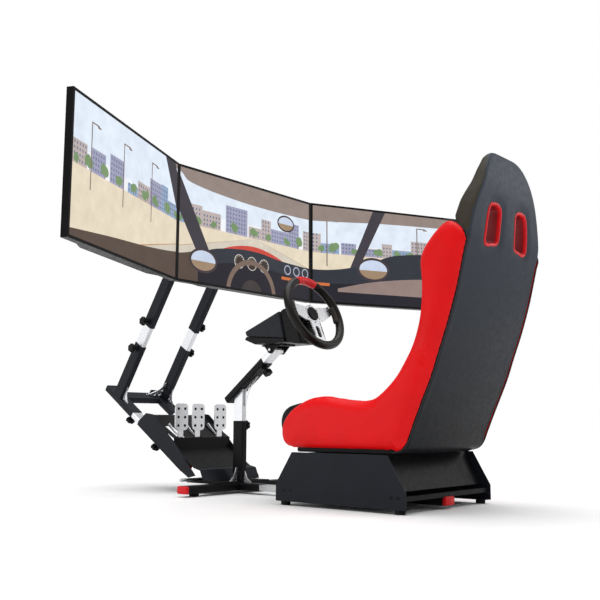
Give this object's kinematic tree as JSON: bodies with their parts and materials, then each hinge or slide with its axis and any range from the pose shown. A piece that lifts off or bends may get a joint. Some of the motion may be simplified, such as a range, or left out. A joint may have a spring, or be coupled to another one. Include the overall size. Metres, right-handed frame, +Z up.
{
  "type": "sit-down racing cabinet",
  "caption": "Sit-down racing simulator: bucket seat on a steel base, telescopic column with steering wheel, pedal box, and a telescopic stand with wrap-round displays.",
  "frame": {"origin": "centre of the cabinet's footprint, at floor level", "axes": "+Z is up; the driver faces +Y and the displays face -Y; +X is the driver's right hand side"},
  "size_m": [2.0558, 1.7954, 1.1736],
  "materials": {
    "slate_paint": "satin",
    "black_paint": "satin",
    "silver_tube": "satin",
    "steel": "satin",
    "spoke_aluminium": "satin",
    "red_vinyl": "satin",
    "black_vinyl": "satin",
    "slate_vinyl": "satin",
    "slate_plastic": "satin",
    "black_plastic": "satin",
    "rim_rubber": "satin",
    "screen_glass": "gloss"
  },
  "bodies": {
    "base": {"floor_frame": "black_paint", "floor_inner_tube": "silver_tube", "column_outer": "black_paint", "pedal_base_plate": "black_paint", "pedal_hinge_rod": "steel", "side_beam_left": "slate_paint", "side_beam_right": "slate_paint", "heel_plate": "slate_paint", "pedal_deck": "black_paint", "pedal_shaft": "steel"},
    "seat_unit": {"seat_side_left": "slate_paint", "seat_side_right": "slate_paint", "seat_pan": "black_paint", "seat_chassis": "black_paint", "seat_shell": "slate_vinyl", "seat_bolster_left": "red_vinyl", "seat_bolster_right": "red_vinyl", "seat_cushion": "black_vinyl", "seat_back_pad": "black_vinyl"},
    "clutch": {"clutch_pedal": "silver_tube"},
    "brake": {"brake_pedal": "silver_tube"},
    "throttle": {"throttle_pedal": "silver_tube"},
    "steering_post": {"column_inner": "silver_tube", "steering_arm": "black_paint"},
    "reach_arm": {"arm_inner": "silver_tube"},
    "wheel_base": {"tilt_bracket": "black_paint", "tilt_shaft": "steel", "wheel_base_shell": "slate_plastic", "wheel_base_nose": "black_plastic", "drive_motor": "steel"},
    "steering_wheel": {"wheel_rim": "rim_rubber", "wheel_spokes": "spoke_aluminium", "wheel_shaft": "steel"},
    "left_paddle": {"paddle_left": "black_plastic"},
    "right_paddle": {"paddle_right": "black_plastic"},
    "stand_slider": {"stand_inner_left": "silver_tube", "stand_inner_right": "silver_tube"},
    "stand": {"stand_frame": "slate_paint"},
    "mast_slider": {"mast_inner_left": "silver_tube", "mast_inner_right": "silver_tube"},
    "mast": {"mast_upper": "slate_paint"},
    "displays": {"display_beam": "black_paint", "centre_display": "black_plastic", "centre_screen": "screen_glass"},
    "left_wing": {"left_display": "black_plastic", "left_screen": "screen_glass", "left_wing_arm": "black_paint"},
    "right_wing": {"right_display": "black_plastic", "right_screen": "screen_glass", "right_wing_arm": "black_paint"},
    "column_knob_screw": {"column_knob": "black_plastic"},
    "arm_knob_screw": {"arm_knob": "black_plastic"},
    "rail_knob_left_screw": {"rail_knob_left": "black_plastic"},
    "rail_knob_right_screw": {"rail_knob_right": "black_plastic"},
    "stand_knob_left_screw": {"stand_knob_left": "black_plastic"},
    "stand_knob_right_screw": {"stand_knob_right": "black_plastic"},
    "mast_low_knob_left_screw": {"mast_low_knob_left": "black_plastic"},
    "mast_low_knob_right_screw": {"mast_low_knob_right": "black_plastic"},
    "mast_high_knob_left_screw": {"mast_high_knob_left": "black_plastic"},
    "mast_high_knob_right_screw": {"mast_high_knob_right": "black_plastic"}
  },
  "joints": [
    {"name": "seat_slide", "type": "slide", "parent": "base", "child": "seat_unit", "axis": [0, 1, 0], "range_m": [-0.06, 0.14]},
    {"name": "column_height", "type": "slide", "parent": "base", "child": "steering_post", "axis": [0, 0, 1], "range_m": [-0.05, 0.09]},
    {"name": "steering_reach", "type": "slide", "parent": "steering_post", "child": "reach_arm", "axis": [0, -0.7986, 0.6018], "range_m": [-0.04, 0.09]},
    {"name": "wheel_base_tilt", "type": "hinge", "parent": "reach_arm", "child": "wheel_base", "pos_m": [0, 0.0518, 0.5205], "axis": [1, 0, 0], "range_deg": [-20, 20]},
    {"name": "steering_turn", "type": "hinge", "parent": "wheel_base", "child": "steering_wheel", "pos_m": [0, -0.1292, 0.645], "axis": [0, -0.9178, 0.3972], "range_deg": [-450, 450]},
    {"name": "left_paddle_pull", "type": "hinge", "parent": "steering_wheel", "child": "left_paddle", "pos_m": [-0.026, -0.09983, 0.63229], "axis": [0, 0.3972, 0.9178], "range_deg": [0, 8], "stiffness_Nm_per_rad": 0.5, "springref_deg": -2.86},
    {"name": "right_paddle_pull", "type": "hinge", "parent": "steering_wheel", "child": "right_paddle", "pos_m": [0.026, -0.09983, 0.63229], "axis": [0, -0.3972, -0.9178], "range_deg": [0, 8], "stiffness_Nm_per_rad": 0.5, "springref_deg": -2.86},
    {"name": "clutch_press", "type": "hinge", "parent": "base", "child": "clutch", "pos_m": [0, 0.4603, 0.184], "axis": [-1, 0, 0], "range_deg": [0, 11], "stiffness_Nm_per_rad": 20, "springref_deg": -2.86},
    {"name": "brake_press", "type": "hinge", "parent": "base", "child": "brake", "pos_m": [0, 0.4603, 0.184], "axis": [-1, 0, 0], "range_deg": [0, 11], "stiffness_Nm_per_rad": 40, "springref_deg": -2.86},
    {"name": "throttle_press", "type": "hinge", "parent": "base", "child": "throttle", "pos_m": [0, 0.4603, 0.184], "axis": [-1, 0, 0], "range_deg": [0, 11], "stiffness_Nm_per_rad": 10, "springref_deg": -2.86},
    {"name": "stand_slide_low", "type": "slide", "parent": "base", "child": "stand_slider", "axis": [0, 0.8387, 0.5446], "range_m": [-0.025, 0.08]},
    {"name": "stand_slide_high", "type": "slide", "parent": "stand_slider", "child": "stand", "axis": [0, 0.8387, 0.5446], "range_m": [-0.025, 0.05]},
    {"name": "mast_slide_low", "type": "slide", "parent": "stand", "child": "mast_slider", "axis": [0, -0.5446, 0.8387], "range_m": [-0.04, 0.08]},
    {"name": "mast_slide_high", "type": "slide", "parent": "mast_slider", "child": "mast", "axis": [0, -0.5446, 0.8387], "range_m": [-0.04, 0.08]},
    {"name": "display_tilt", "type": "hinge", "parent": "mast", "child": "displays", "pos_m": [0, 0.2943, 0.9616], "axis": [1, 0, 0], "range_deg": [-10, 12]},
    {"name": "left_wing_fold", "type": "hinge", "parent": "displays", "child": "left_wing", "pos_m": [-0.3655, 0.2198, 0.9616], "axis": [0, 0, 1], "range_deg": [-25.75, 3]},
    {"name": "right_wing_fold", "type": "hinge", "parent": "displays", "child": "right_wing", "pos_m": [0.3655, 0.2198, 0.9616], "axis": [0, 0, 1], "range_deg": [-3, 25.75]},
    {"name": "column_knob_turn", "type": "hinge", "parent": "base", "child": "column_knob_screw", "pos_m": [0.013, 0.2423, 0.248], "axis": [1, 0, 0], "range_deg": [0, 720]},
    {"name": "arm_knob_turn", "type": "hinge", "parent": "steering_post", "child": "arm_knob_screw", "pos_m": [0, 0.11046, 0.46], "axis": [0, -0.6018, -0.7986], "range_deg": [0, 720]},
    {"name": "rail_knob_left_turn", "type": "hinge", "parent": "base", "child": "rail_knob_left_screw", "pos_m": [-0.1075, 0.58243, 0.18184], "axis": [0, 0.5446, -0.8387], "range_deg": [0, 720]},
    {"name": "stand_knob_left_turn", "type": "hinge", "parent": "stand", "child": "stand_knob_left_screw", "pos_m": [-0.1075, 0.74345, 0.28641], "axis": [0, 0.5446, -0.8387], "range_deg": [0, 720]},
    {"name": "mast_low_knob_left_turn", "type": "hinge", "parent": "stand", "child": "mast_low_knob_left_screw", "pos_m": [-0.133, 0.69842, 0.55406], "axis": [-1, 0, 0], "range_deg": [0, 720]},
    {"name": "mast_high_knob_left_turn", "type": "hinge", "parent": "mast", "child": "mast_high_knob_left_screw", "pos_m": [-0.133, 0.63088, 0.65806], "axis": [-1, 0, 0], "range_deg": [0, 720]},
    {"name": "rail_knob_right_turn", "type": "hinge", "parent": "base", "child": "rail_knob_right_screw", "pos_m": [0.1075, 0.58243, 0.18184], "axis": [0, 0.5446, -0.8387], "range_deg": [0, 720]},
    {"name": "stand_knob_right_turn", "type": "hinge", "parent": "stand", "child": "stand_knob_right_screw", "pos_m": [0.1075, 0.74345, 0.28641], "axis": [0, 0.5446, -0.8387], "range_deg": [0, 720]},
    {"name": "mast_low_knob_right_turn", "type": "hinge", "parent": "stand", "child": "mast_low_knob_right_screw", "pos_m": [0.133, 0.69842, 0.55406], "axis": [1, 0, 0], "range_deg": [0, 720]},
    {"name": "mast_high_knob_right_turn", "type": "hinge", "parent": "mast", "child": "mast_high_knob_right_screw", "pos_m": [0.133, 0.63088, 0.65806], "axis": [1, 0, 0], "range_deg": [0, 720]}
  ]
}
